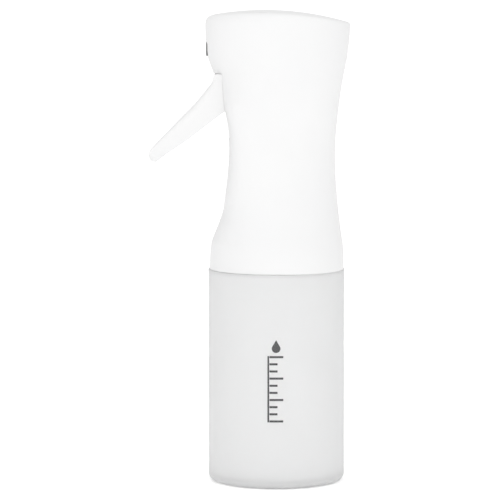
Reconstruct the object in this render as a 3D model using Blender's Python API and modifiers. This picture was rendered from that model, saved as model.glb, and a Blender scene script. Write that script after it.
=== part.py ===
"""A continuous-spray hand mister: a bottle, and a head that screws off it to refill.

The head is one white shroud over a pump engine. Squeezing the trigger drives a horizontal pump piston,
which sends liquid past a ball valve into a spring-loaded buffer, and the buffer feeds the nozzle.

Lengths are in millimetres in the tables below and become metres where a mesh is made. They are measured
from the bottle's axis at the level it stands on. The spray leaves along -X, and the object is the same on
both sides of the XZ plane.
"""

import math

import bmesh
import bpy
from mathutils import Matrix, Vector

MM = 0.001

# Overall sizes.
BODY_R = 24.0
SEAM_Z = 75.4
HEAD_TOP_Z = 166.2
HEAD_REAR_X = 25.9
TRIGGER_TIP_X = -45.0
FIT_GAP = 0.15

# Bottle.
NECK_R = 12.6
NECK_BORE_R = 10.9
NECK_TOP_Z = 97.0
BEAD_R = 14.4
SPIGOT_R = 21.5
SPIGOT_BORE_R = 20.2
WALL = 1.3
THREAD_PITCH = 4.2
THREAD_DEPTH = 0.85
THREAD_FOOT_Z = 88.4
THREAD_TURNS = 1.4

# Shroud: at each height, how far it reaches forward, back and sideways, and how square its front is.
SHROUD_WALL = 1.5
SHROUD_FOOT_Z = SEAM_Z + 0.3
HEAD_STATIONS = (
    (75.7, 23.65, 23.65, 23.65, 2.0),
    (80.0, 23.4, 23.6, 23.3, 2.0),
    (84.4, 22.95, 23.35, 22.5, 2.1),
    (86.8, 22.1, 22.95, 21.8, 2.2),
    (91.0, 20.4, 22.4, 20.5, 2.5),
    (95.5, 18.9, 21.85, 19.4, 2.8),
    (101.0, 18.1, 21.3, 18.4, 3.3),
    (108.0, 17.25, 20.8, 17.5, 3.8),
    (116.0, 16.7, 20.6, 17.2, 4.2),
    (124.0, 17.0, 20.95, 17.2, 4.7),
    (131.0, 18.2, 21.7, 17.5, 4.6),
    (138.0, 19.9, 22.6, 18.0, 2.8),
    (144.5, 22.3, 23.75, 18.6, 1.95),
    (150.0, 24.2, 24.8, 19.1, 2.0),
    (156.0, 24.9, 25.5, 19.5, 2.1),
    (163.0, 25.1, 26.06, 19.8, 2.2),
)
REAR_SQUARENESS = 2.15
TOP_PEAK_X = -4.2
TOP_ARC_R = 102.0
TOP_SIDE_ARC_R = 260.0
TOP_EDGE_FRONT_R = 3.2
TOP_EDGE_REAR_R = 1.1
SLOT_HALF = 9.25
SLOT_Z = (121.0, 144.1)

# Engine.
TUBE_X = 1.4
NOZZLE_Z = 152.7
NOZZLE_R = 2.6
NOZZLE_RECESS_R = 3.2
NOZZLE_RECESS_WIDEN = 1.5
NOZZLE_RECESS_X = -24.3
BARREL_R = 4.2
PUMP_Z = 130.0
PUMP_BORE_R = 5.5
PUMP_R = 6.7
PUMP_MOUTH_X = -8.0
PUMP_END_X = 2.6
BUFFER_X = 11.2
BUFFER_BORE_R = 6.2
BUFFER_R = 7.5
BUFFER_FOOT_Z = 105.0
BUFFER_TOP_Z = 144.0
BUFFER_TRAVEL = 12.0
DECK_Z = (101.7, 103.4)
FLANGE_Z = (98.4, 99.8)
TRANSFER_X = 0.2
OUTLET_X = 8.0
EAR_Y = (5.2, 6.9)

# Trigger: the pivot, the crosshead pin that it drives, and the swing.
PIVOT = (-12.0, 141.0)
PIVOT_PIN_R = 1.25
CROSS_PIN_R = 1.2
LEVER = PIVOT[1] - PUMP_Z
TRIGGER_SWING = math.radians(26)
CROSS_X = PIVOT[0] - LEVER * math.tan(TRIGGER_SWING / 2)
STROKE = 2 * LEVER * math.tan(TRIGGER_SWING / 2)
PISTON_FACE_X = 0.2 - STROKE
WEB_HALF = 8.9
WEB_THICK = 1.6
TIP_HALF = 6.8

COLOURS = {
    "white_plastic": ((0.93, 0.93, 0.93), 0.35, 0.0),
    "frosted_plastic": ((0.86, 0.87, 0.87), 0.5, 0.0),
    "dark_plastic": ((0.09, 0.09, 0.09), 0.4, 0.0),
    "natural_plastic": ((0.85, 0.85, 0.82), 0.4, 0.0),
    "rubber": ((0.55, 0.55, 0.55), 0.8, 0.0),
    "steel": ((0.62, 0.62, 0.62), 0.25, 1.0),
}


def clear_scene():
    for obj in list(bpy.data.objects):
        bpy.data.objects.remove(obj)


def new_collection(name):
    made = bpy.data.collections.new(name)
    bpy.context.scene.collection.children.link(made)
    return made


def new_material(name):
    colour, roughness, metallic = COLOURS[name]
    made = bpy.data.materials.new(name)
    made.use_nodes = True
    shader = made.node_tree.nodes["Principled BSDF"]
    shader.inputs["Base Color"].default_value = (*colour, 1)
    shader.inputs["Roughness"].default_value = roughness
    shader.inputs["Metallic"].default_value = metallic
    made.diffuse_color = (*colour, 1)
    return made


clear_scene()
PARTS = new_collection("hand_mister")
HELPERS = new_collection("cutters")
MATERIALS = {name: new_material(name) for name in COLOURS}


def new_empty(name, at, parent=None):
    """An empty at a point of the bottle's frame. A moving body's empty is on its joint's axis."""
    empty = bpy.data.objects.new(name, None)
    empty.empty_display_size = 0.01
    PARTS.objects.link(empty)
    empty["at"] = list(at)
    if parent:
        empty.parent = parent
        at = [a - b for a, b in zip(at, parent["at"])]
    empty.location = [v * MM for v in at]
    return empty


# The whole footprint is centred on the origin, so the bottle's axis stands behind it.
MISTER = new_empty("mister", (0, 0, 0))
MISTER.location.x = -(TRIGGER_TIP_X + HEAD_REAR_X) / 2 * MM


def keep(obj, name, material, body, at=(0, 0, 0)):
    """Makes obj a part of the model: its name, material and place under its body's empty."""
    obj.name = name
    obj.data.name = name
    obj.data.materials.clear()
    obj.data.materials.append(MATERIALS[material])
    PARTS.objects.link(obj)
    obj.parent = body
    obj.location = [(a - b) * MM for a, b in zip(at, body["at"])]
    return obj


def help_with(obj, name):
    """Makes obj a hidden helper for a Boolean, standing in the same frame as the parts."""
    obj.name = name
    HELPERS.objects.link(obj)
    obj.parent = MISTER
    obj.hide_render = True
    obj.display_type = "WIRE"
    return obj


def object_of(bm, smooth_angle=None):
    mesh = bpy.data.meshes.new("mesh")
    bmesh.ops.recalc_face_normals(bm, faces=bm.faces)
    bm.to_mesh(mesh)
    bm.free()
    if smooth_angle:
        mesh.shade_smooth()
        mesh.set_sharp_from_angle(angle=math.radians(smooth_angle))
    return bpy.data.objects.new("object", mesh)


def arc(centre, radius, start, end, count):
    """Points (r, z) on an arc, from start to end degrees, counted from the +r direction towards +z."""
    turns = [math.radians(start + (end - start) * k / count) for k in range(count + 1)]
    return [(centre[0] + radius * math.cos(a), centre[1] + radius * math.sin(a)) for a in turns]


def turned(profile, steps=40):
    """A solid of revolution about Z, from the (r, z) points of its section in order."""
    bm = bmesh.new()
    points = [bm.verts.new((r * MM, 0, z * MM)) for r, z in profile]
    for a, b in zip(points, points[1:]):
        bm.edges.new((a, b))
    if profile[0][0] > 0:
        bm.edges.new((points[-1], points[0]))
    mesh = bpy.data.meshes.new("mesh")
    bm.to_mesh(mesh)
    bm.free()
    obj = bpy.data.objects.new("object", mesh)
    screw = obj.modifiers.new("turn", "SCREW")
    screw.steps = screw.render_steps = steps
    screw.use_merge_vertices = True
    screw.merge_threshold = 0.00001
    screw.use_smooth_shade = True
    return obj


def lay_forward(obj):
    """Turns a Z-axis piece to lie along X, with its top towards the nozzle."""
    obj.rotation_euler = (0, -math.pi / 2, 0)
    return obj


def cylinder(radius, start, end, sides=32):
    """A closed cylinder between two points, for the engine's tubes, pins and bores."""
    start, end = Vector(start), Vector(end)
    bm = bmesh.new()
    bmesh.ops.create_cone(
        bm, cap_ends=True, segments=sides, radius1=radius * MM, radius2=radius * MM,
        depth=(end - start).length * MM,
    )
    turn = (end - start).to_track_quat("Z", "Y").to_matrix().to_4x4()
    bmesh.ops.transform(bm, matrix=Matrix.Translation((start + end) / 2 * MM) @ turn, verts=bm.verts)
    return object_of(bm, 30)


def block(low, high, round_axis=None, radius=0.0):
    """A box between two corners. Its four edges along round_axis can be rounded."""
    low, high = Vector(low), Vector(high)
    bm = bmesh.new()
    bmesh.ops.create_cube(bm, size=1)
    for v in bm.verts:
        v.co = [(low[k] + high[k]) / 2 * MM + v.co[k] * (high[k] - low[k]) * MM for k in range(3)]
    if round_axis is not None:
        edges = [
            e for e in bm.edges
            if abs((e.verts[0].co - e.verts[1].co).normalized()[round_axis]) > 0.9
        ]
        bmesh.ops.bevel(
            bm, geom=edges, offset=radius * MM, segments=3, affect="EDGES", profile=0.5
        )
    return object_of(bm)


def outline_solid(points, low, high, tilt=None):
    """A flat outline of (a, b) points made solid: in XZ with tilt "Y", in XY with tilt "Z"."""
    curve = bpy.data.curves.new("outline", "CURVE")
    curve.dimensions = "2D"
    curve.fill_mode = "BOTH"
    curve.extrude = (high - low) / 2 * MM
    spline = curve.splines.new("POLY")
    spline.points.add(len(points) - 1)
    for point, (a, b) in zip(spline.points, points):
        point.co = (a * MM, b * MM, 0, 1)
    spline.use_cyclic_u = True
    obj = bpy.data.objects.new("outline", curve)
    middle = (low + high) / 2 * MM
    if tilt == "Y":
        matrix = Matrix.Translation((0, middle, 0)) @ Matrix.Rotation(math.pi / 2, 4, "X")
    else:
        matrix = Matrix.Translation((0, 0, middle))
    return meshed(obj, matrix)


def meshed(obj, matrix=None):
    """A curve object as a welded mesh, because a Boolean takes no curve."""
    PARTS.objects.link(obj)
    bpy.context.view_layer.update()
    evaluated = obj.evaluated_get(bpy.context.evaluated_depsgraph_get())
    bm = bmesh.new()
    bm.from_mesh(bpy.data.meshes.new_from_object(evaluated))
    bpy.data.objects.remove(obj)
    bmesh.ops.remove_doubles(bm, verts=bm.verts, dist=0.000001)
    if matrix:
        bmesh.ops.transform(bm, matrix=matrix, verts=bm.verts)
    return object_of(bm, 30)


def helix(radius, foot_z, turns, pitch, wire, first_turn=0.0, points_per_turn=20, ends=None, resolution=2):
    """A round bar wound on a right-hand helix about Z. ends=(share of a turn) thins the bar to nothing."""
    curve = bpy.data.curves.new("helix", "CURVE")
    curve.dimensions = "3D"
    curve.bevel_depth = wire * MM
    curve.bevel_resolution = resolution
    curve.use_fill_caps = True
    count = round(turns * points_per_turn)
    spline = curve.splines.new("POLY")
    spline.points.add(count)
    for k, point in enumerate(spline.points):
        turn = first_turn + turns * k / count
        angle = 2 * math.pi * turn
        height = foot_z + pitch * (turn - first_turn)
        point.co = (radius * MM * math.cos(angle), radius * MM * math.sin(angle), height * MM, 1)
        if ends:
            near_end = min(k, count - k) / (ends * points_per_turn)
            point.radius = 0.3 + 0.7 * min(1.0, near_end)
    return bpy.data.objects.new("helix", curve)


def boolean(obj, other, operation):
    step = obj.modifiers.new(operation.lower(), "BOOLEAN")
    step.operation = operation
    step.solver = "EXACT"
    step.object = other
    return obj


def join(obj, *others):
    for n, other in enumerate(others):
        boolean(obj, help_with(other, f"{obj.name}_join_{n}"), "UNION")
    return obj


def cut(obj, *others):
    for n, other in enumerate(others):
        boolean(obj, help_with(other, f"{obj.name}_cut_{n}"), "DIFFERENCE")
    return obj


# ---------------------------------------------------------------- bottle and closure


def make_bottle():
    inner_r = BODY_R - WALL
    profile = [(0, 4.8), (8, 4.5), (14, 3.5), (18.5, 2.7)]
    profile += arc((inner_r - 3.4, 6.0), 3.4, -80, 0, 3)
    profile += [(inner_r, 72.6), (SPIGOT_BORE_R, SEAM_Z), (SPIGOT_BORE_R, 77.2)]
    profile += [
        (SPIGOT_BORE_R - 7.8 * (1 - math.cos(a)), 77.2 + 6.3 * math.sin(a)) for a in quarter(3)[1:-1]
    ]
    profile += [(NECK_BORE_R + 0.8, 83.7), (NECK_BORE_R, 84.8), (NECK_BORE_R, NECK_TOP_Z - 0.3)]
    profile += [(NECK_BORE_R + 0.3, NECK_TOP_Z), (NECK_R - 0.3, NECK_TOP_Z), (NECK_R, NECK_TOP_Z - 0.3)]
    profile += [(NECK_R, 86.3), (BEAD_R, 86.1), (BEAD_R, 84.9)]
    profile += [
        (SPIGOT_R - 7.8 * (1 - math.cos(a)), 77.6 + 7.0 * math.sin(a)) for a in reversed(quarter(4)[:-1])
    ]
    profile += [(SPIGOT_R, SEAM_Z), (BODY_R - 0.3, SEAM_Z), (BODY_R, SEAM_Z - 0.3)]
    profile += arc((BODY_R - 2.5, 2.5), 2.5, 0, -90, 3)
    profile += [(18.3, 0), (17.4, 0.35), (13.5, 1.7), (8, 2.6), (0, 3.0)]
    bottle = keep(turned(profile, 32), "bottle", "frosted_plastic", MISTER)
    thread = helix(NECK_R, THREAD_FOOT_Z, THREAD_TURNS, THREAD_PITCH, THREAD_DEPTH, ends=0.2, resolution=1)
    join(bottle, meshed(thread))


def quarter(count):
    """Angles from 0 to a right angle."""
    return [math.pi / 2 * k / count for k in range(count + 1)]


def make_gasket(body):
    profile = [(NECK_R, 98.25), (NECK_R, 97.15), (NECK_BORE_R + 0.2, 97.15), (NECK_BORE_R + 0.2, 98.25)]
    keep(turned(profile, 32), "neck_gasket", "rubber", body)


def make_collar(head):
    bore = NECK_R + THREAD_DEPTH + 0.3
    profile = [
        (15.0, 101.4), (15.4, 101.0), (15.4, 87.6), (15.0, 87.2), (bore + 0.4, 87.2), (bore, 87.6),
        (bore, 99.95), (8.4, 99.95), (8.4, 101.4),
    ]
    collar = keep(turned(profile, 28), "screw_collar", "natural_plastic", head)
    foot = THREAD_FOOT_Z
    thread = helix(bore, foot, 1.0, THREAD_PITCH, THREAD_DEPTH, first_turn=0.5, ends=0.2, resolution=1)
    ribs = []
    for k in range(8):
        rib = block((15.2, -0.6, 88.2), (16.0, 0.6, 96.0))
        rib.rotation_euler.z = math.radians(45 * k + 22.5)
        ribs.append(rib)
    join(collar, meshed(thread), *ribs)


# ---------------------------------------------------------------- shroud


def station(z):
    """The head's forward, backward and sideways reach and its squareness at a height, on a smooth curve."""
    rows = HEAD_STATIONS
    z = min(max(z, rows[0][0]), rows[-1][0])
    k = max(i for i in range(len(rows) - 1) if rows[i][0] <= z)
    a, b = rows[k], rows[k + 1]
    t = (z - a[0]) / (b[0] - a[0])
    before, after = rows[max(k - 1, 0)], rows[min(k + 2, len(rows) - 1)]
    out = []
    for n in range(1, 5):
        rise_a = (b[n] - before[n]) / (b[0] - before[0]) * (b[0] - a[0])
        rise_b = (after[n] - a[n]) / (after[0] - a[0]) * (b[0] - a[0])
        blend = 2 * t**3 - 3 * t**2 + 1, t**3 - 2 * t**2 + t, 3 * t**2 - 2 * t**3, t**3 - t**2
        out.append(blend[0] * a[n] + blend[1] * rise_a + blend[2] * b[n] + blend[3] * rise_b)
    return out


def section_point(z, angle, inset):
    """A point of the head's section at a height: two halves of superellipses that meet at the widest line."""
    front, rear, side, squareness = station(z)
    c, s = math.cos(angle), math.sin(angle)
    power = 2 / (squareness if c < 0 else REAR_SQUARENESS)
    reach = (front if c < 0 else rear) - inset
    x = math.copysign(reach * abs(c) ** power, c)
    y = math.copysign((side - inset) * abs(s) ** power, s)
    return x, y


def top_z(x, y, inset):
    drop = (x - TOP_PEAK_X) ** 2 / (2 * TOP_ARC_R) + y**2 / (2 * TOP_SIDE_ARC_R)
    return HEAD_TOP_Z - inset - drop


def head_rings(foot_z, inset, sides, levels, edge_steps=3):
    """Rings of points up the head's side, over its rounded top edge and towards the middle of its top."""
    angles = [2 * math.pi * k / sides for k in range(sides)]
    side_rings, edge = [], []
    for level in levels:
        ring = []
        for angle in angles:
            blunt = (1 - math.cos(angle)) / 2
            radius = TOP_EDGE_REAR_R + (TOP_EDGE_FRONT_R - TOP_EDGE_REAR_R) * blunt
            radius = max(radius - inset, 0.4)
            x, y = section_point(160.0, angle, inset)
            rim = top_z(x, y, inset) - radius
            z = foot_z + level * (rim - foot_z)
            x, y = section_point(z, angle, inset)
            ring.append((x, y, z))
            if level == levels[-1]:
                edge.append((x, y, z, radius))
        side_rings.append(ring)
    for step in range(1, edge_steps + 1):
        turn = math.pi / 2 * step / edge_steps
        ring = []
        for x, y, z, radius in edge:
            shrink = 1 - radius * (1 - math.cos(turn)) / math.hypot(x, y)
            lean = step / edge_steps
            on_top = top_z(x * shrink, y * shrink, inset)
            rise = z + radius * math.sin(turn)
            ring.append((x * shrink, y * shrink, rise + (on_top - rise) * lean))
        side_rings.append(ring)
    rim = side_rings[-1]
    for share in (0.7, 0.35):
        inner = [(x * share, y * share) for x, y, _ in rim]
        side_rings.append([(x, y, top_z(x, y, inset)) for x, y in inner])
    return side_rings


def head_solid(foot_z, inset, sides, levels):
    """The head's outer form, or with an inset the hollow inside it, as a closed loft between its sections."""
    rings = head_rings(foot_z, inset, sides, levels)
    bm = bmesh.new()
    rows = [[bm.verts.new(Vector(p) * MM) for p in ring] for ring in rings]
    for low, high in zip(rows, rows[1:]):
        for k in range(sides):
            j = (k + 1) % sides
            bm.faces.new((low[k], low[j], high[j], high[k]))
    peak = bm.verts.new(Vector((0, 0, top_z(0, 0, inset))) * MM)
    for k in range(sides):
        bm.faces.new((rows[-1][k], rows[-1][(k + 1) % sides], peak))
    bm.faces.new(list(reversed(rows[0])))
    return object_of(bm, 40)


def even(count):
    return [k / count for k in range(count + 1)]


def make_shroud(head):
    shroud = keep(head_solid(SHROUD_FOOT_Z, 0.0, 32, even(17)), "shroud", "white_plastic", head)
    slot = block((-30, -SLOT_HALF, SLOT_Z[0]), (-11, SLOT_HALF, SLOT_Z[1]), round_axis=0, radius=0.6)
    nozzle_hole = cylinder(NOZZLE_R + 0.3, (-30, 0, NOZZLE_Z), (-19, 0, NOZZLE_Z), 24)
    recess = cylinder(NOZZLE_RECESS_R, (-30, 0, NOZZLE_Z), (NOZZLE_RECESS_X, 0, NOZZLE_Z), 24)
    recess.data.transform(Matrix.Scale(NOZZLE_RECESS_WIDEN, 4, (0, 1, 0)))
    cut(shroud, head_solid(SHROUD_FOOT_Z - 3, SHROUD_WALL, 24, even(10)), slot, nozzle_hole, recess)


# ---------------------------------------------------------------- engine


def deck_outline(z, inset, sides=28):
    return [section_point(z, 2 * math.pi * k / sides, inset) for k in range(sides)]


def make_housing(head):
    """The engine's one moulded frame: base flange, deck, riser, pump cylinder, buffer cylinder and barrel."""
    buffer = cylinder(BUFFER_R, (BUFFER_X, 0, BUFFER_FOOT_Z), (BUFFER_X, 0, BUFFER_TOP_Z + 1.4), 28)
    housing = keep(buffer, "pump_housing", "natural_plastic", head)
    ears = [
        block((-15.0, side * EAR_Y[0], 138.2), (-8.6, side * EAR_Y[1], 151.0), round_axis=1, radius=2.0)
        for side in (-1, 1)
    ]
    join(
        housing,
        cylinder(PUMP_R, (PUMP_MOUTH_X, 0, PUMP_Z), (PUMP_END_X + 2.4, 0, PUMP_Z), 24),
        cylinder(4.0, (TUBE_X, 0, 97.4), (TUBE_X, 0, 126.0), 24),
        block((-8.8, -0.8, DECK_Z[1] - 0.5), (4.5, 0.8, 125.0)),
        cylinder(3.3, (TRANSFER_X, 0, 134.5), (TRANSFER_X, 0, 145.4), 24),
        block((TRANSFER_X, -2.2, 139.0), (6.5, 2.2, 144.6)),
        cylinder(2.8, (OUTLET_X, 0, 144.6), (OUTLET_X, 0, 154.0), 20),
        cylinder(BARREL_R, (-21.2, 0, NOZZLE_Z), (11.8, 0, NOZZLE_Z), 24),
        block((-14.6, -6.0, 147.0), (-9.0, 6.0, 151.2)),
        *ears,
        cylinder(7.9, (0, 0, FLANGE_Z[1] - 0.4), (0, 0, DECK_Z[0] + 0.4), 24),
        cylinder(12.3, (0, 0, FLANGE_Z[0]), (0, 0, FLANGE_Z[1]), 28),
        outline_solid(deck_outline(DECK_Z[1], SHROUD_WALL + 0.35), *DECK_Z),
    )
    cut(
        housing,
        cylinder(BUFFER_BORE_R, (BUFFER_X, 0, DECK_Z[1] + 0.2), (BUFFER_X, 0, BUFFER_TOP_Z), 28),
        cylinder(PUMP_BORE_R, (PUMP_MOUTH_X - 3, 0, PUMP_Z), (PUMP_END_X, 0, PUMP_Z), 24),
        cylinder(2.75, (TUBE_X, 0, 95.0), (TUBE_X, 0, 104.4), 20),
        cylinder(2.1, (TUBE_X, 0, 104.0), (TUBE_X, 0, 108.6), 20),
        cylinder(1.0, (TUBE_X, 0, 108.0), (TUBE_X, 0, 127.0), 12),
        cylinder(1.1, (TRANSFER_X, 0, 133.0), (TRANSFER_X, 0, 138.4), 12),
        cylinder(2.2, (TRANSFER_X, 0, 138.0), (TRANSFER_X, 0, 147.0), 20),
        cylinder(1.0, (1.0, 0, 141.8), (6.5, 0, 141.8), 12),
        cylinder(1.2, (OUTLET_X, 0, 143.0), (OUTLET_X, 0, NOZZLE_Z), 12),
        cylinder(1.6, (-15.0, 0, NOZZLE_Z), (10.2, 0, NOZZLE_Z), 16),
        cylinder(2.85, (-24.0, 0, NOZZLE_Z), (-14.1, 0, NOZZLE_Z), 24),
        cylinder(PIVOT_PIN_R + FIT_GAP, (PIVOT[0], -9, PIVOT[1]), (PIVOT[0], 9, PIVOT[1]), 16),
    )


def make_inlet(head, ball_body):
    """The bush that holds the dip tube and carries the inlet ball's seat, the ball, and the tube."""
    seat = [
        (1.9, 104.1), (2.6, 103.6), (2.6, 97.6), (2.35, 97.2), (2.35, 95.6), (2.2, 95.6),
        (2.2, 101.2), (1.0, 101.2), (1.0, 103.2),
    ]
    keep(turned(seat, 18), "inlet_valve_seat", "natural_plastic", head, (TUBE_X, 0, 0))
    tube = [(2.05, 101.0), (2.05, 7.0), (1.35, 6.4), (1.35, 101.0)]
    keep(turned(tube, 24), "dip_tube", "frosted_plastic", head, (TUBE_X, 0, 0))
    keep(ball(1.55), "inlet_ball", "steel", ball_body, (TUBE_X, 0, 104.6))


def ball(radius):
    bm = bmesh.new()
    bmesh.ops.create_uvsphere(bm, u_segments=12, v_segments=7, radius=radius * MM)
    return object_of(bm, 60)


def make_transfer_valve(head, ball_body):
    keep(ball(1.6), "transfer_ball", "steel", ball_body, (TRANSFER_X, 0, 139.7))
    plug = [(0, 146.4), (3.1, 146.4), (3.1, 145.55), (2.05, 145.55), (2.05, 143.6), (0, 143.6)]
    keep(turned(plug, 20), "transfer_valve_plug", "natural_plastic", head, (TRANSFER_X, 0, 0))


def make_plunger(plunger):
    """The pump's piston, a cup that holds the return spring, with its seal and the crosshead pin."""
    front, face = -CROSS_X + 2.4, -PISTON_FACE_X
    profile = [
        (0, front), (2.7, front), (3.1, front - 0.4), (3.1, 12.0), (5.1, 11.6), (5.1, face + 2.9),
        (4.6, face + 2.9), (4.6, face + 1.2), (5.1, face + 1.2), (5.1, face), (3.8, face), (3.8, 11.2),
        (0, 11.2),
    ]
    piston = keep(lay_forward(turned(profile, 22)), "pump_piston", "white_plastic", plunger, (0, 0, PUMP_Z))
    pin_hole = cylinder(CROSS_PIN_R + 0.12, (CROSS_X, -6, PUMP_Z), (CROSS_X, 6, PUMP_Z), 18)
    cut(piston, pin_hole)
    pin = cylinder(CROSS_PIN_R, (CROSS_X, -8.7, PUMP_Z), (CROSS_X, 8.7, PUMP_Z), 16)
    keep(pin, "crosshead_pin", "steel", plunger)
    seal = [
        (4.7, face + 2.8), (5.0, face + 2.8), (5.38, face + 2.3), (5.38, face + 1.5), (5.1, face + 1.3),
        (4.7, face + 1.3),
    ]
    keep(lay_forward(turned(seal, 24)), "pump_piston_seal", "rubber", plunger, (0, 0, PUMP_Z))


def make_springs(head):
    """Three coil springs: the pump's return, the buffer's, and the nozzle valve's."""
    length = PUMP_END_X + 11.2
    back = helix(3.1, -PUMP_END_X + 0.5, 5.0, (length - 1.2) / 5.0, 0.35, points_per_turn=12, resolution=1)
    keep(lay_forward(meshed(back)), "pump_return_spring", "steel", head, (0, 0, PUMP_Z))
    foot = 106.6 + 0.75
    top = 134.9 - 0.75
    store = helix(4.3, foot, 6.0, (top - foot) / 6.0, 0.6, points_per_turn=12, resolution=1)
    keep(meshed(store), "buffer_spring", "steel", head, (BUFFER_X, 0, 0))
    small = helix(1.8, 16.4, 2.5, 0.68, 0.22, points_per_turn=12, resolution=1)
    keep(lay_forward(meshed(small)), "nozzle_valve_spring", "steel", head, (0, 0, NOZZLE_Z))


def make_buffer(head, piston_body):
    profile = [
        (0, 138.6), (5.5, 138.6), (5.9, 138.2), (5.9, 137.4), (5.0, 137.4), (5.0, 135.9), (5.9, 135.9),
        (5.9, 131.6), (5.1, 131.6), (5.1, 134.7), (4.7, 135.1), (0, 135.1),
    ]
    at = (BUFFER_X, 0, 0)
    keep(turned(profile, 24), "buffer_piston", "white_plastic", piston_body, at)
    seal = arc((5.55, 136.65), 0.5, 90, -270, 6)[:-1]
    keep(turned(seal, 20), "buffer_piston_seal", "rubber", piston_body, at)
    cap = [
        (0, 109.0), (3.2, 109.0), (3.5, 108.7), (3.5, 106.5), (6.05, 106.5), (6.05, 103.8), (0, 103.8),
    ]
    keep(turned(cap, 24), "buffer_end_cap", "natural_plastic", head, at)


def make_nozzle(head, valve_body):
    """From the outside in: the dark nozzle cup, the swirl insert and the valve that holds pressure back."""
    at = (0, 0, NOZZLE_Z)
    cup = [
        (0.35, 24.15), (0.9, 24.6), (2.45, 24.6), (NOZZLE_R, 24.4), (NOZZLE_R, 19.8), (1.6, 19.8),
        (1.6, 23.3), (0.35, 23.5),
    ]
    keep(lay_forward(turned(cup, 24)), "nozzle_cup", "dark_plastic", head, at)
    insert = [(0, 23.1), (1.35, 22.9), (1.35, 19.4), (2.5, 19.4), (2.5, 18.4), (0, 18.4)]
    swirl = keep(lay_forward(turned(insert, 24)), "swirl_insert", "natural_plastic", head, at)
    grooves = [
        block((-20.0, -0.5, NOZZLE_Z + side), (-18.2, 0.5, NOZZLE_Z + side + 1.0)) for side in (-2.6, 1.6)
    ]
    cut(swirl, *grooves)
    valve = [(0, 17.7), (1.2, 17.7), (1.2, 16.1), (2.45, 16.1), (2.45, 15.2), (0.8, 13.6), (0, 13.6)]
    keep(lay_forward(turned(valve, 24)), "nozzle_valve", "rubber", valve_body, at)


# ---------------------------------------------------------------- trigger

TRIGGER_FRONT = (
    (-20.9, 143.75), (-21.8, 143.4), (-22.3, 141.9), (-22.8, 140.6), (-24.2, 138.7), (-26.1, 136.3),
    (-29.2, 132.6), (-33.6, 128.2), (-38.0, 123.7), (-41.7, 119.9), (-44.2, 117.3),
)
TRIGGER_TIP = ((-44.9, 116.2), (TRIGGER_TIP_X, 115.0), (-44.4, 113.7), (-43.1, 113.1), (-41.8, 113.5))
TRIGGER_REAR = ((-38.3, 116.2), (-32.5, 120.1), (-27.1, 124.2), (-21.3, 128.7), (-18.35, 130.9))
TRIGGER_ROOT = (
    (-17.3, 130.1), (-17.0, 128.4), (-15.9, 127.3), (-14.5, 127.4), (-13.2, 128.6), (-12.6, 131.0),
)

# The line along the lever that its width is measured from, and where the strips across it lie.
ALONG_START = Vector((-20.0, 137.0))
ALONG = Vector((-0.72, -0.69))
ALONG_LENGTH = 33.0
TIP_ROUND = (0.8, 0.26)
PLATE_THICK = 1.7
STRIPS = (0.0, 0.25, 0.5, 0.75, 0.86, 0.94)


def trigger_half_width(x, z):
    """Full width at the shroud, narrowing along the lever, with a round end."""
    along = max((Vector((x, z)) - ALONG_START).dot(ALONG) / ALONG_LENGTH, 0.0)
    narrowed = min(along, 1.0)
    half = WEB_HALF + (TIP_HALF - WEB_HALF) * narrowed * narrowed * (3 - 2 * narrowed)
    end = max(along - TIP_ROUND[0], 0.0) / TIP_ROUND[1]
    return half * math.sqrt(1 - end * end)


def trigger_slab(outline, inset):
    """An outline in XZ made as thick as the trigger is wide there, less an inset on each side, in strips."""
    bm = bmesh.new()
    for side in (-1, 1):
        face = bm.faces.new([bm.verts.new((x * MM, side * MM, z * MM)) for x, z in outline])
        if side < 0:
            near = list(face.verts)
        else:
            far = list(face.verts)
    for k in range(len(near)):
        j = (k + 1) % len(near)
        bm.faces.new((near[k], near[j], far[j], far[k]))
    for share in STRIPS:
        at = (ALONG_START + ALONG * ALONG_LENGTH * share) * MM
        bmesh.ops.bisect_plane(
            bm, geom=bm.verts[:] + bm.edges[:] + bm.faces[:], plane_co=(at[0], 0, at[1]),
            plane_no=(ALONG[0], 0, ALONG[1]),
        )
    bmesh.ops.triangulate(bm, faces=[f for f in bm.faces if len(f.verts) > 4])
    for v in bm.verts:
        half = trigger_half_width(v.co.x / MM, v.co.z / MM) - inset
        v.co.y = math.copysign(half * MM, v.co.y)
    return object_of(bm, 30)


def make_trigger(body):
    boss = [(PIVOT[0] + r, PIVOT[1] + z) for r, z in arc((0, 0), 2.85, -20, 95, 5)]
    outline = [*TRIGGER_FRONT, *TRIGGER_TIP, *TRIGGER_REAR, *TRIGGER_ROOT, *boss]
    trigger = keep(trigger_slab(outline, 0.0), "trigger", "white_plastic", body, (0, 0, 0))
    front = [(x + PLATE_THICK * 0.75, z - PLATE_THICK * 0.66) for x, z in TRIGGER_FRONT[4:-1]]
    hollow = [
        (-19.3, 141.8), (-20.6, 140.8), *front, (-38.6, 117.4), (-37.6, 114.0), (-18.0, 122.0),
        (-5.0, 122.0), (-5.0, 150.0), (-17.2, 150.0), (-17.2, 141.8),
    ]
    pin_hole = cylinder(PIVOT_PIN_R + 0.2, (PIVOT[0], -10, PIVOT[1]), (PIVOT[0], 10, PIVOT[1]), 20)
    reach = [LEVER - 0.15, LEVER / math.cos(TRIGGER_SWING / 2) + 0.15]
    down = -math.pi / 2 - TRIGGER_SWING / 2
    slot_r = CROSS_PIN_R + 0.2
    ends = []
    for distance, start in ((reach[0], down + math.pi / 2), (reach[1], down - math.pi / 2)):
        centre = (PIVOT[0] + distance * math.cos(down), PIVOT[1] + distance * math.sin(down))
        ends += arc(centre, slot_r, math.degrees(start), math.degrees(start) + 180, 6)
    cut(trigger, trigger_slab(hollow, WEB_THICK), pin_hole, outline_solid(ends, -11, 11, "Y"))


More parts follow.
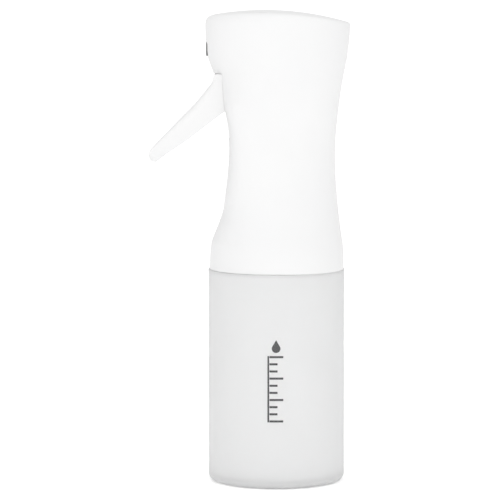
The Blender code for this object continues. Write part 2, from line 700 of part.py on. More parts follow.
def make_pivot_pin(head):
    pin = cylinder(PIVOT_PIN_R, (PIVOT[0], -8.8, PIVOT[1]), (PIVOT[0], 8.8, PIVOT[1]), 20)
    keep(pin, "trigger_pivot_pin", "steel", head)


def main():
    lift = new_empty("gasket_body", (0, 0, NECK_TOP_Z), MISTER)
    head = new_empty("head_body", (0, 0, NECK_TOP_Z), lift)
    trigger = new_empty("trigger_body", (PIVOT[0], 0, PIVOT[1]), head)
    plunger = new_empty("plunger_body", (0, 0, PUMP_Z), head)
    buffer = new_empty("buffer_piston_body", (BUFFER_X, 0, 135.0), head)
    inlet = new_empty("inlet_ball_body", (TUBE_X, 0, 104.6), head)
    transfer = new_empty("transfer_ball_body", (TRANSFER_X, 0, 139.7), head)
    valve = new_empty("nozzle_valve_body", (-16.0, 0, NOZZLE_Z), head)
    make_bottle()
    make_gasket(lift)
    make_collar(head)
    make_shroud(head)
    make_housing(head)
    make_inlet(head, inlet)
    make_transfer_valve(head, transfer)
    make_plunger(plunger)
    make_springs(head)
    make_buffer(head, buffer)
    make_nozzle(head, valve)
    make_trigger(trigger)
    make_pivot_pin(head)


main()
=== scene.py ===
"""The look of the hand mister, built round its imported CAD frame.

Lengths are in millimetres from the bottle's axis at the level it stands on, as in the CAD, and become
metres in the row frame, where that axis stands behind the origin, as a mesh is made. The spray leaves
along -X.
"""

import math

import bmesh
import bpy
from mathutils import Matrix, Vector


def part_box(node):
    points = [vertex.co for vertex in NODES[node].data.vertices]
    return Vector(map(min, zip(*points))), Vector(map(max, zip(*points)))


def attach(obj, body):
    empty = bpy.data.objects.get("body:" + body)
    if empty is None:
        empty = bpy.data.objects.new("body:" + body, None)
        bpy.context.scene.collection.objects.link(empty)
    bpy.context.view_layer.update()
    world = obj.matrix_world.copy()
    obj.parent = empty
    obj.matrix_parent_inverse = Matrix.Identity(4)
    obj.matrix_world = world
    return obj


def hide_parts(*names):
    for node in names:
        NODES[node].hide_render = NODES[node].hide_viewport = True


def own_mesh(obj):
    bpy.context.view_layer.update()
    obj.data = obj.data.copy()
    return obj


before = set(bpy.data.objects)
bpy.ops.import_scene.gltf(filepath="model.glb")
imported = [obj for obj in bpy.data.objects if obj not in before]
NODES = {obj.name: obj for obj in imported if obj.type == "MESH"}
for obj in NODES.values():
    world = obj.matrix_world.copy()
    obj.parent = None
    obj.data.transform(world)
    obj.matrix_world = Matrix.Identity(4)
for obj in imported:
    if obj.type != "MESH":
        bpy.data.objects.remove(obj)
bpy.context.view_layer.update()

MM = 0.001
AXIS_X = sum(c.x for c in map(Vector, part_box("bottle"))) / 2 / MM

# ---------------------------------------------------------------- camera, light, floor

CAMERA_DISTANCE = 1130.0
CAMERA_HEIGHT = 187.0
CAMERA_AIM = (0.2, 81.6)
CAMERA_LENS = 231.3
WORLD_FRONT = 1.13
WORLD_BACK = 0.88
KEY_WATTS = 2.5
TOP_WATTS = 0.8
FLOOR_HALF = 15.0
FLOOR_GLOW = 0.2
FLOOR_DROP = 0.0002


def add(name, data):
    obj = bpy.data.objects.new(name, data)
    bpy.context.scene.collection.objects.link(obj)
    return obj


def place_camera():
    camera = add("camera", bpy.data.cameras.new("camera"))
    camera.data.lens = CAMERA_LENS
    camera.data.sensor_width = 36.0
    camera.data.clip_end = 20.0
    aim = Vector((CAMERA_AIM[0], 0, CAMERA_AIM[1])) * MM
    camera.location = Vector((CAMERA_AIM[0], -CAMERA_DISTANCE, CAMERA_HEIGHT)) * MM
    camera.rotation_euler = (aim - camera.location).to_track_quat("-Z", "Y").to_euler()
    bpy.context.scene.camera = camera


def area_light(name, at, aim, size, energy):
    light = add(name, bpy.data.lights.new(name, "AREA"))
    light.data.shape = "RECTANGLE"
    light.data.size, light.data.size_y = size
    light.data.energy = energy
    light.location = at
    light.rotation_euler = (Vector(aim) - Vector(at)).to_track_quat("-Z", "Y").to_euler()


def light_scene():
    world = bpy.data.worlds.new("studio")
    world.use_nodes = True
    nodes, links = world.node_tree.nodes, world.node_tree.links
    background = nodes["Background"]
    background.inputs["Color"].default_value = (1, 1, 1, 1)
    direction, parts, fade = (
        nodes.new(f"ShaderNode{kind}") for kind in ("TexCoord", "SeparateXYZ", "MapRange")
    )
    for name, value in (("From Min", -1), ("From Max", 1), ("To Min", WORLD_FRONT), ("To Max", WORLD_BACK)):
        fade.inputs[name].default_value = value
    links.new(direction.outputs["Generated"], parts.inputs["Vector"])
    links.new(parts.outputs["Y"], fade.inputs["Value"])
    links.new(fade.outputs["Result"], background.inputs["Strength"])
    bpy.context.scene.world = world
    bpy.context.scene.view_settings.view_transform = "Standard"
    area_light("key", (0, -1.3, 0.45), (0, 0, 0.09), (0.6, 0.6), KEY_WATTS)
    area_light("top", (0, 0, 1.0), (0, 0, 0), (0.8, 0.8), TOP_WATTS)


def add_floor():
    mesh = bpy.data.meshes.new("floor")
    corners = [(FLOOR_HALF * a, FLOOR_HALF * b, 0) for a, b in ((-1, -1), (1, -1), (1, 1), (-1, 1))]
    mesh.from_pydata(corners, [], [(0, 1, 2, 3)])
    floor = add("floor", mesh)
    floor.location.z = -FLOOR_DROP
    material, shader = new_material("floor")
    shader.inputs["Base Color"].default_value = (0.97, 0.97, 0.97, 1)
    shader.inputs["Roughness"].default_value = 0.8
    shader.inputs["Emission Color"].default_value = (1, 1, 1, 1)
    shader.inputs["Emission Strength"].default_value = FLOOR_GLOW
    mesh.materials.append(material)


# ---------------------------------------------------------------- materials


def new_material(name):
    material = bpy.data.materials.new(name)
    material.use_nodes = True
    return material, material.node_tree.nodes["Principled BSDF"]


def node(material, kind, **values):
    made = material.node_tree.nodes.new(kind)
    for key, value in values.items():
        if key in made.inputs:
            made.inputs[key].default_value = value
        else:
            setattr(made, key, value)
    return made


def link(material, a, b):
    material.node_tree.links.new(a, b)


def noise(material, scale, detail=3.0, stretch=(1, 1, 1)):
    """Noise in the object's own space, so that it stays put and needs no UVs. scale is per metre."""
    where = node(material, "ShaderNodeTexCoord")
    mapping = node(material, "ShaderNodeMapping")
    mapping.inputs["Scale"].default_value = stretch
    link(material, where.outputs["Object"], mapping.inputs["Vector"])
    texture = node(material, "ShaderNodeTexNoise", Scale=scale, Detail=detail)
    link(material, mapping.outputs["Vector"], texture.inputs["Vector"])
    return texture.outputs["Fac"]


def ranged(material, fac, low, high):
    """A noise's middle part, 0.3 to 0.7, spread over low..high."""
    remap = node(material, "ShaderNodeMapRange")
    for name, value in (("From Min", 0.3), ("From Max", 0.7), ("To Min", low), ("To Max", high)):
        remap.inputs[name].default_value = value
    link(material, fac, remap.inputs["Value"])
    return remap.outputs["Result"]


def tinted(material, shader, fac, low, high):
    """Base colour wandering between two colours."""
    ramp = node(material, "ShaderNodeValToRGB")
    ramp.color_ramp.elements[0].position = 0.3
    ramp.color_ramp.elements[1].position = 0.7
    ramp.color_ramp.elements[0].color = (*low, 1)
    ramp.color_ramp.elements[1].color = (*high, 1)
    link(material, fac, ramp.inputs["Fac"])
    link(material, ramp.outputs["Color"], shader.inputs["Base Color"])


def bumped(material, shader, fac, depth):
    """Relief of that depth, in metres."""
    bump = node(material, "ShaderNodeBump", Distance=depth, Strength=1.0)
    link(material, fac, bump.inputs["Height"])
    link(material, bump.outputs["Normal"], shader.inputs["Normal"])


def moulded(name, low, high, roughness, grain=4000.0, depth=0.000004, ior=1.49):
    """Injection-moulded plastic: a slow drift of shade, uneven gloss and fine orange peel."""
    material, shader = new_material(name)
    tinted(material, shader, noise(material, 45.0), low, high)
    link(material, ranged(material, noise(material, 260.0), *roughness), shader.inputs["Roughness"])
    bumped(material, shader, noise(material, grain, 2.0), depth)
    shader.inputs["IOR"].default_value = ior
    shader.inputs["Specular IOR Level"].default_value = 0.1
    return material


def make_materials():
    made = {}
    made["white"] = moulded("white_plastic", (0.715, 0.715, 0.717), (0.73, 0.73, 0.73), (0.4, 0.48))
    made["natural"] = moulded("natural_plastic", (0.72, 0.72, 0.7), (0.77, 0.77, 0.75), (0.38, 0.5))
    made["dark"] = moulded("dark_plastic", (0.03, 0.03, 0.031), (0.04, 0.04, 0.041), (0.45, 0.55), 9000.0)
    made["rubber"] = moulded("rubber", (0.4, 0.4, 0.4), (0.46, 0.46, 0.46), (0.7, 0.85), 7000.0, 0.00001)
    frosted, shader = new_material("frosted_plastic")
    tinted(frosted, shader, noise(frosted, 60.0), (0.98, 0.982, 0.983), (0.99, 0.992, 0.993))
    link(frosted, ranged(frosted, noise(frosted, 900.0), 0.44, 0.54), shader.inputs["Roughness"])
    bumped(frosted, shader, noise(frosted, 14000.0, 2.0), 0.000004)
    shader.inputs["IOR"].default_value = 1.45
    shader.inputs["Transmission Weight"].default_value = 0.5
    absorb = node(frosted, "ShaderNodeVolumeAbsorption", Density=125.0)
    absorb.inputs["Color"].default_value = (0.5, 0.5, 0.5, 1)
    link(frosted, absorb.outputs["Volume"], frosted.node_tree.nodes["Material Output"].inputs["Volume"])
    made["frosted"] = frosted
    tube, shader = new_material("tube_plastic")
    tinted(tube, shader, noise(tube, 90.0, stretch=(1, 1, 0.1)), (0.95, 0.95, 0.945), (0.97, 0.97, 0.965))
    link(tube, ranged(tube, noise(tube, 500.0), 0.2, 0.28), shader.inputs["Roughness"])
    shader.inputs["Transmission Weight"].default_value = 0.9
    made["tube"] = tube
    steel, shader = new_material("steel")
    tinted(steel, shader, noise(steel, 300.0), (0.56, 0.56, 0.57), (0.66, 0.66, 0.67))
    link(steel, ranged(steel, noise(steel, 2500.0), 0.18, 0.34), shader.inputs["Roughness"])
    bumped(steel, shader, noise(steel, 9000.0, 1.0), 0.000003)
    shader.inputs["Metallic"].default_value = 1.0
    made["steel"] = steel
    ink, shader = new_material("ink")
    tinted(ink, shader, noise(ink, 2500.0), (0.05, 0.05, 0.052), (0.08, 0.08, 0.082))
    link(ink, ranged(ink, noise(ink, 5000.0), 0.45, 0.6), shader.inputs["Roughness"])
    made["ink"] = ink
    return made


# ---------------------------------------------------------------- mesh helpers

SMOOTH_ANGLE = math.radians(35)


def shade(mesh):
    """Smooth shading, with an edge wherever the faces turn by more than SMOOTH_ANGLE."""
    mesh.shade_smooth()
    mesh.set_sharp_from_angle(angle=SMOOTH_ANGLE)


def finish_mesh(bm, name):
    """A mesh object in the row frame from a bmesh in millimetres."""
    bmesh.ops.recalc_face_normals(bm, faces=bm.faces)
    bmesh.ops.transform(
        bm, matrix=Matrix.Scale(MM, 4) @ Matrix.Translation((AXIS_X, 0, 0)), verts=bm.verts
    )
    mesh = bpy.data.meshes.new(name)
    bm.to_mesh(mesh)
    bm.free()
    shade(mesh)
    return add(name, mesh)


def grid_between(bm, rows, closed=True):
    """Quads between rows of vertices of equal length."""
    for low, high in zip(rows, rows[1:]):
        for k in range(len(low) if closed else len(low) - 1):
            j = (k + 1) % len(low)
            bm.faces.new((low[k], low[j], high[j], high[k]))


def ring_of(bm, points):
    return [bm.verts.new(p) for p in points]


def skin(bm, rows):
    """A closed tube through the rows, with a cap on each end."""
    grid_between(bm, rows)
    bm.faces.new(rows[0])
    bm.faces.new(list(reversed(rows[-1])))


def prism(bm, outline, half):
    """An outline in XZ made solid from -half to half across."""
    skin(bm, [ring_of(bm, [(x, side * half, z) for x, z in outline]) for side in (-1, 1)])


def arc(centre, radius, start, end, count):
    turns = [math.radians(start + (end - start) * k / count) for k in range(count + 1)]
    return [(centre[0] + radius * math.cos(a), centre[1] + radius * math.sin(a)) for a in turns]


def lathe(profile, steps, closed=True):
    """A bmesh turned about Z from (r, z) points. Points at r = 0 become one vertex."""
    bm = bmesh.new()
    rows = []
    for r, z in profile:
        if r == 0:
            rows.append([bm.verts.new((0, 0, z))] * steps)
        else:
            turns = [2 * math.pi * k / steps for k in range(steps)]
            rows.append(ring_of(bm, [(r * math.cos(a), r * math.sin(a), z) for a in turns]))
    pairs = list(zip(rows, rows[1:]))
    if closed:
        pairs.append((rows[-1], rows[0]))
    for low, high in pairs:
        for k in range(steps):
            j = (k + 1) % steps
            corners = list(dict.fromkeys((low[k], low[j], high[j], high[k])))
            if len(corners) > 2:
                bm.faces.new(corners)
    return bm


def turn_forward(bm, z):
    """Lays a turned piece along X, its top towards the spray, with its axis at height z."""
    matrix = Matrix.Translation((0, 0, z)) @ Matrix.Rotation(-math.pi / 2, 4, "Y")
    bmesh.ops.transform(bm, matrix=matrix, verts=bm.verts)
    return bm


def apply_modifiers(obj):
    evaluated = obj.evaluated_get(bpy.context.evaluated_depsgraph_get())
    mesh = bpy.data.meshes.new_from_object(evaluated)
    obj.modifiers.clear()
    obj.data = mesh


def combine(obj, operation, *others):
    """Cuts the others out of obj, or joins them to it, for good, and removes them."""
    for other in others:
        step = obj.modifiers.new("combine", "BOOLEAN")
        step.operation = operation
        step.solver = "EXACT"
        step.object = other
    bpy.context.view_layer.update()
    apply_modifiers(obj)
    for other in others:
        bpy.data.objects.remove(other)
    shade(obj.data)


def dress(obj, material, body, *stands_for):
    """Gives a piece its material and its body, and hides the CAD nodes it stands for."""
    obj.data.materials.clear()
    obj.data.materials.append(MATERIALS[material])
    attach(obj, body)
    if stands_for:
        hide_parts(*stands_for)


# ---------------------------------------------------------------- shroud

HEAD_TOP_Z = 166.2
SHROUD_WALL = 1.5
SHROUD_SIDES = 144
SHROUD_FOOT_Z = 75.05
FOOT_BEVEL_SHARE = 0.994
FOOT_BEVEL_RISE = 0.06
HEAD_STATIONS = (
    (75.7, 23.65, 23.65, 23.65, 2.0),
    (80.0, 23.4, 23.6, 23.3, 2.0),
    (84.4, 22.95, 23.35, 22.5, 2.1),
    (86.8, 22.1, 22.95, 21.8, 2.2),
    (91.0, 20.4, 22.4, 20.5, 2.5),
    (95.5, 18.9, 21.85, 19.4, 2.8),
    (101.0, 18.1, 21.3, 18.4, 3.3),
    (108.0, 17.25, 20.8, 17.5, 3.8),
    (116.0, 16.7, 20.6, 17.2, 4.2),
    (124.0, 17.0, 20.95, 17.2, 4.7),
    (131.0, 18.2, 21.7, 17.5, 4.6),
    (138.0, 19.9, 22.6, 18.0, 2.8),
    (144.5, 22.3, 23.75, 18.6, 1.95),
    (150.0, 24.2, 24.8, 19.1, 2.0),
    (156.0, 24.9, 25.5, 19.5, 2.1),
    (163.0, 25.1, 26.06, 19.8, 2.2),
)
REAR_SQUARENESS = 2.15
TOP_PEAK_X = -4.2
TOP_ARC_R = 102.0
TOP_SIDE_ARC_R = 260.0
TOP_EDGE_FRONT_R = 3.2
TOP_EDGE_REAR_R = 1.1
TOP_RINGS = 24
SLOT_HALF = 9.25
SLOT_Z = (121.0, 144.1)
SLOT_CORNER_R = 0.15
NOZZLE_Z = 152.7
NOZZLE_R = 2.6
NOZZLE_RECESS_R = 3.2
NOZZLE_RECESS_WIDEN = 1.5
NOZZLE_RECESS_X = -24.3


def station(z):
    """The head's forward, backward and sideways reach and its squareness at a height, on a smooth curve."""
    rows = HEAD_STATIONS
    z = min(max(z, rows[0][0]), rows[-1][0])
    k = max(i for i in range(len(rows) - 1) if rows[i][0] <= z)
    a, b = rows[k], rows[k + 1]
    t = (z - a[0]) / (b[0] - a[0])
    before, after = rows[max(k - 1, 0)], rows[min(k + 2, len(rows) - 1)]
    out = []
    for n in range(1, 5):
        rise_a = (b[n] - before[n]) / (b[0] - before[0]) * (b[0] - a[0])
        rise_b = (after[n] - a[n]) / (after[0] - a[0]) * (b[0] - a[0])
        blend = 2 * t**3 - 3 * t**2 + 1, t**3 - 2 * t**2 + t, 3 * t**2 - 2 * t**3, t**3 - t**2
        out.append(blend[0] * a[n] + blend[1] * rise_a + blend[2] * b[n] + blend[3] * rise_b)
    return out


def section_point(z, angle, inset):
    """A point of the head's section at a height: two halves of superellipses that meet at the widest line."""
    front, rear, side, squareness = station(z)
    c, s = math.cos(angle), math.sin(angle)
    power = 2 / (squareness if c < 0 else REAR_SQUARENESS)
    reach = (front if c < 0 else rear) - inset
    x = math.copysign(reach * abs(c) ** power, c)
    y = math.copysign((side - inset) * abs(s) ** power, s)
    return x, y


def top_z(x, y, inset):
    drop = (x - TOP_PEAK_X) ** 2 / (2 * TOP_ARC_R) + y**2 / (2 * TOP_SIDE_ARC_R)
    return HEAD_TOP_Z - inset - drop


def head_rings(foot_z, inset, sides, levels, edge_steps):
    """Rings of points up the head's side, over its rounded top edge and towards the middle of its top."""
    angles = [2 * math.pi * k / sides for k in range(sides)]
    rings, edge = [], []
    for level in levels:
        ring = []
        for angle in angles:
            blunt = (1 - math.cos(angle)) / 2
            radius = TOP_EDGE_REAR_R + (TOP_EDGE_FRONT_R - TOP_EDGE_REAR_R) * blunt
            radius = max(radius - inset, 0.4)
            x, y = section_point(160.0, angle, inset)
            rim = top_z(x, y, inset) - radius
            z = foot_z + level * (rim - foot_z)
            x, y = section_point(z, angle, inset)
            ring.append((x, y, z))
            if level == levels[-1]:
                edge.append((x, y, z, radius))
        rings.append(ring)
    for step in range(1, edge_steps + 1):
        turn = math.pi / 2 * step / edge_steps
        ring = []
        for x, y, z, radius in edge:
            shrink = 1 - radius * (1 - math.cos(turn)) / math.hypot(x, y)
            on_top = top_z(x * shrink, y * shrink, inset)
            rise = z + radius * math.sin(turn)
            ring.append((x * shrink, y * shrink, rise + (on_top - rise) * step / edge_steps))
        rings.append(ring)
    rim = rings[-1]
    for k in range(1, TOP_RINGS):
        share = 1 - k / TOP_RINGS
        rings.append([(x * share, y * share, top_z(x * share, y * share, inset)) for x, y, _ in rim])
    return rings


def even(count):
    """Shares from 0 to 1 in equal steps."""
    return [k / count for k in range(count + 1)]


def box_cutter(low, high, radius):
    """A box between two corners with its edges along X rounded."""
    bm = bmesh.new()
    bmesh.ops.create_cube(bm, size=1)
    for v in bm.verts:
        v.co = [(low[k] + high[k]) / 2 + v.co[k] * (high[k] - low[k]) for k in range(3)]
    edges = [e for e in bm.edges if abs((e.verts[0].co - e.verts[1].co).normalized().x) > 0.9]
    bmesh.ops.bevel(bm, geom=edges, offset=radius, segments=6, affect="EDGES", profile=0.5)
    return finish_mesh(bm, "cutter")


def rod_cutter(radius, start, end, steps=64):
    start, end = Vector(start), Vector(end)
    bm = bmesh.new()
    bmesh.ops.create_cone(
        bm, cap_ends=True, segments=steps, radius1=radius, radius2=radius, depth=(end - start).length
    )
    turn = (end - start).to_track_quat("Z", "Y").to_matrix().to_4x4()
    bmesh.ops.transform(bm, matrix=Matrix.Translation((start + end) / 2) @ turn, verts=bm.verts)
    return finish_mesh(bm, "cutter")


def make_shroud():
    bm = bmesh.new()
    outer = head_rings(SHROUD_FOOT_Z, 0.0, SHROUD_SIDES, even(110), 8)
    inner = head_rings(SHROUD_FOOT_Z, SHROUD_WALL, SHROUD_SIDES, even(60), 3)
    foot_in = [(x * FOOT_BEVEL_SHARE, y * FOOT_BEVEL_SHARE, z) for x, y, z in outer[0]]
    outer[0] = [(x, y, z + FOOT_BEVEL_RISE) for x, y, z in outer[0]]
    rows = [ring_of(bm, ring) for ring in reversed(inner)]
    rows += [ring_of(bm, foot_in)]
    rows += [ring_of(bm, ring) for ring in outer]
    grid_between(bm, rows)
    for row, inset in ((rows[0], SHROUD_WALL), (rows[-1], 0.0)):
        peak = bm.verts.new((0, 0, top_z(0, 0, inset)))
        for k in range(SHROUD_SIDES):
            bm.faces.new((row[k], row[(k + 1) % SHROUD_SIDES], peak))
    shroud = finish_mesh(bm, "shroud_shell")
    recess = rod_cutter(NOZZLE_RECESS_R, (-30, 0, NOZZLE_Z), (NOZZLE_RECESS_X, 0, NOZZLE_Z))
    recess.data.transform(Matrix.Scale(NOZZLE_RECESS_WIDEN, 4, (0, 1, 0)))
    combine(
        shroud,
        "DIFFERENCE",
        box_cutter((-30, -SLOT_HALF, SLOT_Z[0]), (-11, SLOT_HALF, SLOT_Z[1]), SLOT_CORNER_R),
        rod_cutter(NOZZLE_R + 0.3, (-30, 0, NOZZLE_Z), (-19, 0, NOZZLE_Z)),
        recess,
    )
    dress(shroud, "white", "head", "shroud")


# ---------------------------------------------------------------- bottle

BODY_R = 24.0
SEAM_Z = 75.0
WALL = 1.3
NECK_R = 12.6
NECK_BORE_R = 10.9
NECK_TOP_Z = 97.0
BEAD_R = 14.4
SPIGOT_R = 21.5
SPIGOT_BORE_R = 20.2
SEAM_EDGE_R = 0.06
THREAD_FOOT_Z = 88.4
THREAD_PITCH = 4.2
THREAD_TURNS = 1.4
THREAD_DEPTH = 0.85


def quarter(count):
    return [math.pi / 2 * k / count for k in range(count + 1)]


def bottle_profile():
    """The wall's section: down the inside from the lip, then up the outside from the base."""
    inner_r = BODY_R - WALL
    lip_z = NECK_TOP_Z - 0.3
    inside = [(NECK_BORE_R + 0.3, NECK_TOP_Z), (NECK_BORE_R, lip_z), (NECK_BORE_R, 84.8)]
    inside += [(NECK_BORE_R + 0.8, 83.7)]
    inside += [
        (SPIGOT_BORE_R - 7.8 * (1 - math.cos(a)), 77.2 + 6.3 * math.sin(a))
        for a in reversed(quarter(10)[:-1])
    ]
    inside += [(SPIGOT_BORE_R, 76.2), (20.5, 75.5), (22.1, 74.5), (inner_r, 73.9), (inner_r, 73.0)]
    inside += arc((inner_r - 3.4, 6.0), 3.4, 0, -80, 12)
    inside += [(18.0, 2.75), (16.0, 3.1), (14, 3.5), (11, 4.1), (8, 4.5), (4, 4.75), (0, 4.8)]
    under = [(0, 3.0), (4, 2.9), (8, 2.6), (11, 2.2), (13.5, 1.7), (15.6, 1.05), (17.4, 0.35)]
    under += [(17.9, 0.1), (18.3, 0)]
    outside = arc((BODY_R - 2.5, 2.5), 2.5, -90, 0, 12)
    outside += [(BODY_R, z) for z in (12.0, 30.0, 50.0, 70.0)]
    outside += arc((BODY_R - SEAM_EDGE_R, SEAM_Z - SEAM_EDGE_R), SEAM_EDGE_R, 0, 90, 3)
    outside += [(SPIGOT_R, SEAM_Z)]
    outside += [(SPIGOT_R - 7.8 * (1 - math.cos(a)), 77.6 + 7.0 * math.sin(a)) for a in quarter(12)[:-1]]
    outside += [(BEAD_R, 84.9), (BEAD_R, 86.1), (NECK_R, 86.3), (NECK_R, lip_z), (NECK_R - 0.3, NECK_TOP_Z)]
    return inside, under + outside


def make_thread():
    """The neck's ridge: a flank-and-crest section swept on a helix, faded at both ends."""
    bm = bmesh.new()
    rows = []
    count = 90
    for k in range(count + 1):
        turn = THREAD_TURNS * k / count
        fade = min(1.0, min(k, count - k) / 12 + 0.02)
        angle = 2 * math.pi * turn
        z = THREAD_FOOT_Z + THREAD_PITCH * turn
        crest = NECK_R + THREAD_DEPTH * fade
        section = ((NECK_R - 0.3, -0.95), (crest - 0.2 * fade, -0.55), (crest, -0.25), (crest, 0.25),
                   (crest - 0.2 * fade, 0.55), (NECK_R - 0.3, 0.95))
        rows.append(ring_of(bm, [(r * math.cos(angle), r * math.sin(angle), z + h) for r, h in section]))
    skin(bm, rows)
    return finish_mesh(bm, "thread")


def make_bottle():
    inside, outside = bottle_profile()
    bottle = finish_mesh(lathe(inside + outside, 160), "bottle_shell")
    combine(bottle, "UNION", make_thread())
    dress(bottle, "frosted", "bottle", "bottle")


PRINT_R = (24.005, 24.045)
PRINT_CENTRE = -0.3
PRINT_FOOT_Z = 24.0
TICKS = (4.8, 2.8, 2.8, 4.8, 2.8, 2.8, 4.8, 2.8, 2.8, 4.8)
TICK_STEP = 2.5
TICK_START = -2.3
TICK_HALF = 0.36


def film(bm, outline):
    """A printed shape: an outline of (across, up) points wrapped on the bottle as a thin closed film."""
    rows = []
    for radius in PRINT_R:
        turned = [((u + PRINT_CENTRE) / BODY_R, z) for u, z in outline]
        rows.append(ring_of(bm, [(radius * math.sin(a), -radius * math.cos(a), z) for a, z in turned]))
    grid_between(bm, rows)
    bm.faces.new(list(reversed(rows[0])))
    bm.faces.new(rows[1])


def make_print():
    """A level scale with no figures, and a droplet above it."""
    bm = bmesh.new()
    half = TICK_HALF
    steps = 6
    for n, length in enumerate(TICKS):
        z = PRINT_FOOT_Z + n * TICK_STEP
        low = [(TICK_START + length * k / steps, z - half) for k in range(steps + 1)]
        high = [(u, z + half) for u, _ in reversed(low)]
        film(bm, low + high)
    foot, head = PRINT_FOOT_Z - half, PRINT_FOOT_Z + (len(TICKS) - 1) * TICK_STEP + half
    film(bm, [(-3.0, foot), (-2.4, foot), (-2.4, head), (-3.0, head)])
    drop = arc((0, head + 2.6), 1.5, -215, 35, 28)
    drop += [(0.55, head + 4.6), (0, head + 5.6), (-0.55, head + 4.6)]
    film(bm, drop)
    dress(finish_mesh(bm, "level_print"), "ink", "bottle")


# ---------------------------------------------------------------- trigger

PIVOT = (-12.0, 141.0)
PIVOT_PIN_R = 1.25
CROSS_PIN_R = 1.2
LEVER = 11.0
TRIGGER_SWING = math.radians(26)
WEB_HALF = 9.1
WEB_THICK = 1.6
TIP_HALF = 6.8
TRIGGER_TIP_X = -45.0
TRIGGER_TIP_Z = 115.0
TRIGGER_FRONT = (
    (-20.9, 144.0), (-21.7, 143.8), (-22.2, 142.6), (-22.8, 140.6), (-24.2, 138.7), (-26.1, 136.3),
    (-29.2, 132.6), (-33.6, 128.2), (-38.0, 123.7), (-41.7, 119.9), (-44.2, 117.3),
)
TRIGGER_TIP = (
    (-44.9, 116.2), (TRIGGER_TIP_X, TRIGGER_TIP_Z), (-44.4, 113.7), (-43.1, 113.1), (-41.8, 113.5),
)
TRIGGER_REAR = ((-38.3, 116.2), (-32.5, 120.1), (-27.1, 124.2), (-21.3, 128.7), (-18.35, 130.9))
TRIGGER_ROOT = (
    (-17.3, 130.1), (-17.0, 128.4), (-15.9, 127.3), (-14.5, 127.4), (-13.2, 128.6), (-12.6, 131.0),
)

# The line along the lever that its width is measured from. TIP_ROUND is where on it the round end starts, and
# how far that reaches, as shares of ALONG_LENGTH.
ALONG_START = Vector((-20.0, 137.0))
ALONG = Vector((-0.72, -0.69))
ALONG_LENGTH = 33.0
TIP_ROUND = (0.8, 0.26)
TRIGGER_STRIPS = 40
PLATE_THICK = 1.7

# Rounding of the lever's edges: full along the front, fading over a distance from the tip, a share elsewhere.
EDGE_R = 1.6
REAR_EDGE_SHARE = 0.05
TIP_EDGE_SHARE = 0.2
TIP_FADE = (2.0, 18.0)


def trigger_half_width(x, z):
    """Full width at the shroud, narrowing along the lever, with a round end."""
    along = max((Vector((x, z)) - ALONG_START).dot(ALONG) / ALONG_LENGTH, 0.0)
    narrowed = min(along, 1.0)
    half = WEB_HALF + (TIP_HALF - WEB_HALF) * narrowed * narrowed * (3 - 2 * narrowed)
    end = max(along - TIP_ROUND[0], 0.0) / TIP_ROUND[1]
    return half * math.sqrt(1 - end * end)


def smooth_path(points, per_span):
    """A Catmull-Rom curve through the points, open at both ends."""
    out = []
    for k in range(len(points) - 1):
        p = [Vector(points[min(max(k + d, 0), len(points) - 1)]) for d in (-1, 0, 1, 2)]
        for step in range(per_span):
            t = step / per_span
            out.append(0.5 * (
                2 * p[1] + (p[2] - p[0]) * t + (2 * p[0] - 5 * p[1] + 4 * p[2] - p[3]) * t**2
                + (3 * p[1] - p[0] - 3 * p[2] + p[3]) * t**3
            ))
    out.append(Vector(points[-1]))
    return [tuple(v) for v in out]


def slab(outline, inset, rounding=0.0, fingers=()):
    """An outline in XZ as thick as the trigger is wide there, in strips across its length.

    With a rounding, its edges near the fingers' points are rounded, less towards the tip, and the others by a
    small share of it.
    """
    bm = bmesh.new()
    prism(bm, outline, 1)
    normal = Vector((ALONG[0], 0, ALONG[1])).normalized()
    for k in range(TRIGGER_STRIPS + 1):
        at = ALONG_START + ALONG * ALONG_LENGTH * k / TRIGGER_STRIPS
        bmesh.ops.bisect_plane(
            bm, geom=bm.verts[:] + bm.edges[:] + bm.faces[:], plane_co=(at[0], 0, at[1]), plane_no=normal
        )
    for v in bm.verts:
        v.co.y = math.copysign(trigger_half_width(v.co.x, v.co.z) - inset, v.co.y)
    weights = bm.edges.layers.float.new("bevel_weight_edge")
    for edge in bm.edges:
        a, b = (v.co for v in edge.verts)
        if a.y * b.y > 0 and edge.calc_face_angle(0) > 1:
            middle = (a + b) / 2
            near = fingers and min(math.hypot(middle.x - x, middle.z - z) for x, z in fingers) < 1.0
            reach = math.hypot(middle.x - TRIGGER_TIP_X, middle.z - TRIGGER_TIP_Z)
            full = min(max((reach - TIP_FADE[0]) / (TIP_FADE[1] - TIP_FADE[0]), TIP_EDGE_SHARE), 1.0)
            edge[weights] = full if near else REAR_EDGE_SHARE
    obj = finish_mesh(bm, "trigger_lever")
    if rounding:
        bevel = obj.modifiers.new("round", "BEVEL")
        bevel.width = rounding * MM
        bevel.segments = 5
        bevel.limit_method = "WEIGHT"
        bevel.use_clamp_overlap = False
        bpy.context.view_layer.update()
        apply_modifiers(obj)
    return obj


def slot_cutter():
    """The radial slot the crosshead pin slides in as the trigger swings."""
    reach = (LEVER - 0.15, LEVER / math.cos(TRIGGER_SWING / 2) + 0.15)
    down = -math.pi / 2 - TRIGGER_SWING / 2
    ends = []
    for distance, start in ((reach[0], down + math.pi / 2), (reach[1], down - math.pi / 2)):
        centre = (PIVOT[0] + distance * math.cos(down), PIVOT[1] + distance * math.sin(down))
        ends += arc(centre, CROSS_PIN_R + 0.2, math.degrees(start), math.degrees(start) + 180, 16)
    bm = bmesh.new()
    prism(bm, ends, 11)
    return finish_mesh(bm, "cutter")


